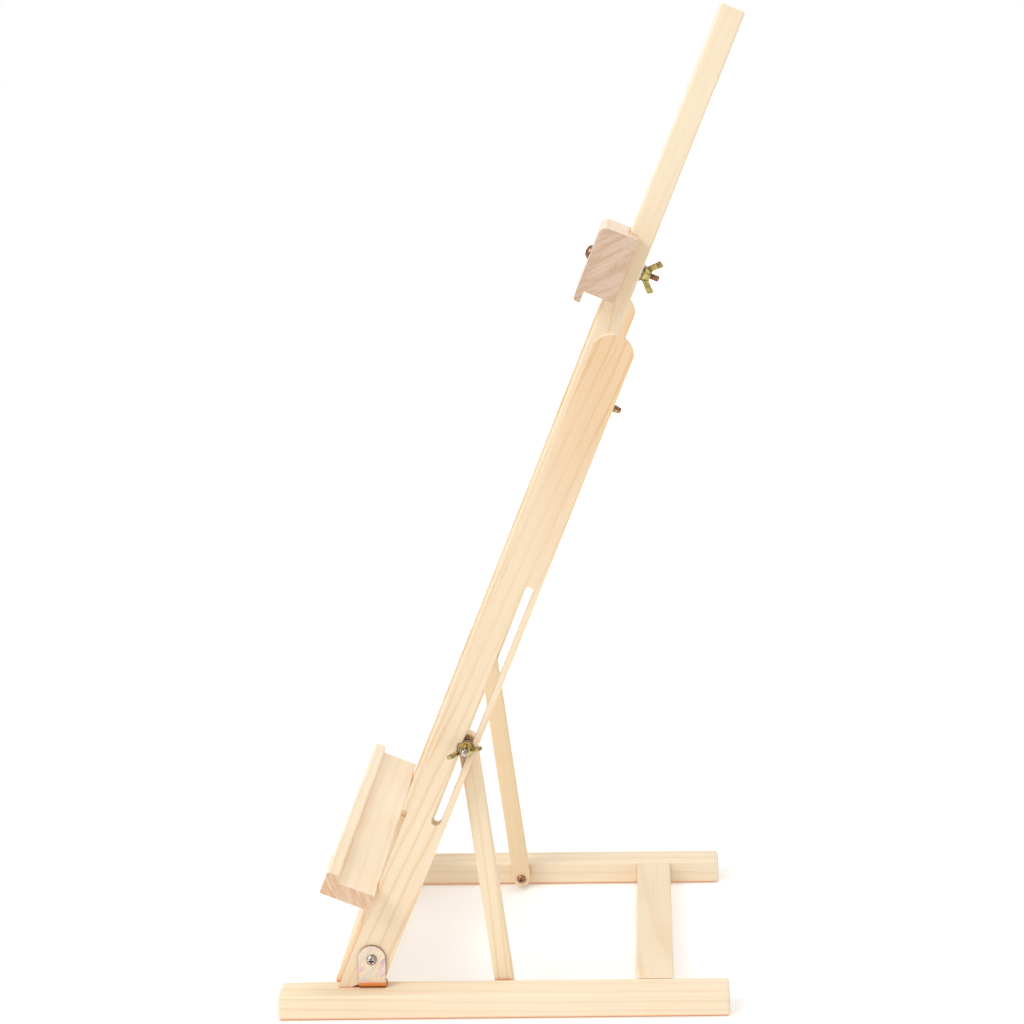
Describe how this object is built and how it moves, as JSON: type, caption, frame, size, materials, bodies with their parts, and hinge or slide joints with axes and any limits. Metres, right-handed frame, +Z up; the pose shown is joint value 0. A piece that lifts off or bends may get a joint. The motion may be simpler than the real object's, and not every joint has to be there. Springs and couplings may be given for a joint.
{
  "type": "tabletop easel",
  "caption": "Tabletop wooden easel: reclining slotted frame on a rail base, centre mast with sliding canvas clamp, ledge tray, side struts locked by wing nuts.",
  "frame": {"origin": "middle of the bounding box, at floor level", "axes": "+Z up, -Y the front that faces the painter, +X the right side of the easel as drawn"},
  "size_m": [0.296, 0.334, 0.7057],
  "materials": {
    "pine": "bare sanded pine",
    "pine_warm": "bare sanded pine, warmer board",
    "dowel_beech": "raw beech",
    "zinc_plate": "iridescent zinc plate",
    "screw_steel": "bright zinc",
    "wing_nut_brass": "yellow zinc, satin"
  },
  "bodies": {
    "base": {"base_crossbar": "pine", "rail_right": "pine", "hinge_bracket_right": "zinc_plate", "bracket_screw_right": "screw_steel", "pivot_screw_right": "screw_steel", "strut_screw_right": "screw_steel", "strut_washer_right": "screw_steel", "rail_left": "pine", "hinge_bracket_left": "zinc_plate", "bracket_screw_left": "screw_steel", "pivot_screw_left": "screw_steel", "strut_screw_left": "screw_steel", "strut_washer_left": "screw_steel", "base_dowel_right_1": "dowel_beech", "base_dowel_right_2": "dowel_beech", "base_dowel_left_1": "dowel_beech", "base_dowel_left_2": "dowel_beech"},
    "frame": {"foot_crossbar": "pine", "head_crossbar": "pine", "tray": "pine_warm", "mast_lock_bolt": "screw_steel", "mast_lock_washer": "screw_steel", "upright_right": "pine", "tray_screw_right": "screw_steel", "upright_left": "pine", "tray_screw_left": "screw_steel", "frame_dowel_right_1": "dowel_beech", "frame_dowel_right_2": "dowel_beech", "frame_dowel_right_3": "dowel_beech", "frame_dowel_right_4": "dowel_beech", "frame_dowel_left_1": "dowel_beech", "frame_dowel_left_2": "dowel_beech", "frame_dowel_left_3": "dowel_beech", "frame_dowel_left_4": "dowel_beech"},
    "mast": {"mast": "pine"},
    "clamp": {"clamp_block": "pine_warm", "clamp_bolt": "screw_steel", "clamp_washer": "screw_steel"},
    "mast_lock_nut": {"mast_lock_wing_nut": "wing_nut_brass"},
    "clamp_nut": {"clamp_wing_nut": "wing_nut_brass"},
    "strut_right": {"strut_right": "pine", "slot_bolt_head_right": "screw_steel"},
    "rider_right": {"slot_bolt_right": "screw_steel", "slot_washer_right": "screw_steel"},
    "slot_nut_right": {"slot_wing_nut_right": "wing_nut_brass"},
    "strut_left": {"strut_left": "pine", "slot_bolt_head_left": "screw_steel"},
    "rider_left": {"slot_bolt_left": "screw_steel", "slot_washer_left": "screw_steel"},
    "slot_nut_left": {"slot_wing_nut_left": "wing_nut_brass"}
  },
  "joints": [
    {"name": "frame_tilt", "type": "hinge", "parent": "base", "child": "frame", "pos_m": [0, -0.10128, 0.0395], "axis": [-1, 0, 0], "range_deg": [0, 64]},
    {"name": "strut_swing_right", "type": "hinge", "parent": "base", "child": "strut_right", "pos_m": [0.1112, -0.00778, 0.0093], "axis": [-1, 0, 0], "range_deg": [0, 84]},
    {"name": "slot_slide_right", "type": "slide", "parent": "frame", "child": "rider_right", "axis": [0, 0.3746, 0.9272], "range_m": [0, 0.1062]},
    {"name": "slot_nut_turn_right", "type": "hinge", "parent": "rider_right", "child": "slot_nut_right", "pos_m": [0.135, -0.03146, 0.1955], "axis": [1, 0, 0], "continuous": true},
    {"name": "strut_swing_left", "type": "hinge", "parent": "base", "child": "strut_left", "pos_m": [-0.1112, -0.00778, 0.0093], "axis": [-1, 0, 0], "range_deg": [0, 84]},
    {"name": "slot_slide_left", "type": "slide", "parent": "frame", "child": "rider_left", "axis": [0, 0.3746, 0.9272], "range_m": [0, 0.1062]},
    {"name": "slot_nut_turn_left", "type": "hinge", "parent": "rider_left", "child": "slot_nut_left", "pos_m": [-0.135, -0.03146, 0.1955], "axis": [1, 0, 0], "continuous": true},
    {"name": "mast_slide", "type": "slide", "parent": "frame", "child": "mast", "axis": [0, 0.3746, 0.9272], "range_m": [-0.015, 0.3]},
    {"name": "clamp_slide", "type": "slide", "parent": "mast", "child": "clamp", "axis": [0, 0.3746, 0.9272], "range_m": [-0.05, 0.165]},
    {"name": "mast_lock_turn", "type": "hinge", "parent": "frame", "child": "mast_lock_nut", "pos_m": [0, 0.06827, 0.41643], "axis": [0, 0.9272, -0.3746], "continuous": true},
    {"name": "clamp_lock_turn", "type": "hinge", "parent": "clamp", "child": "clamp_nut", "pos_m": [0, 0.09842, 0.51243], "axis": [0, 0.9272, -0.3746], "continuous": true}
  ],
  "couplings": [
    {"joint": "strut_swing_right", "follows": "frame_tilt", "ratio": 1.3116},
    {"joint": "slot_slide_right", "follows": "frame_tilt", "m_per_rad": 0.094536},
    {"joint": "strut_swing_left", "follows": "frame_tilt", "ratio": 1.3116},
    {"joint": "slot_slide_left", "follows": "frame_tilt", "m_per_rad": 0.094536}
  ]
}
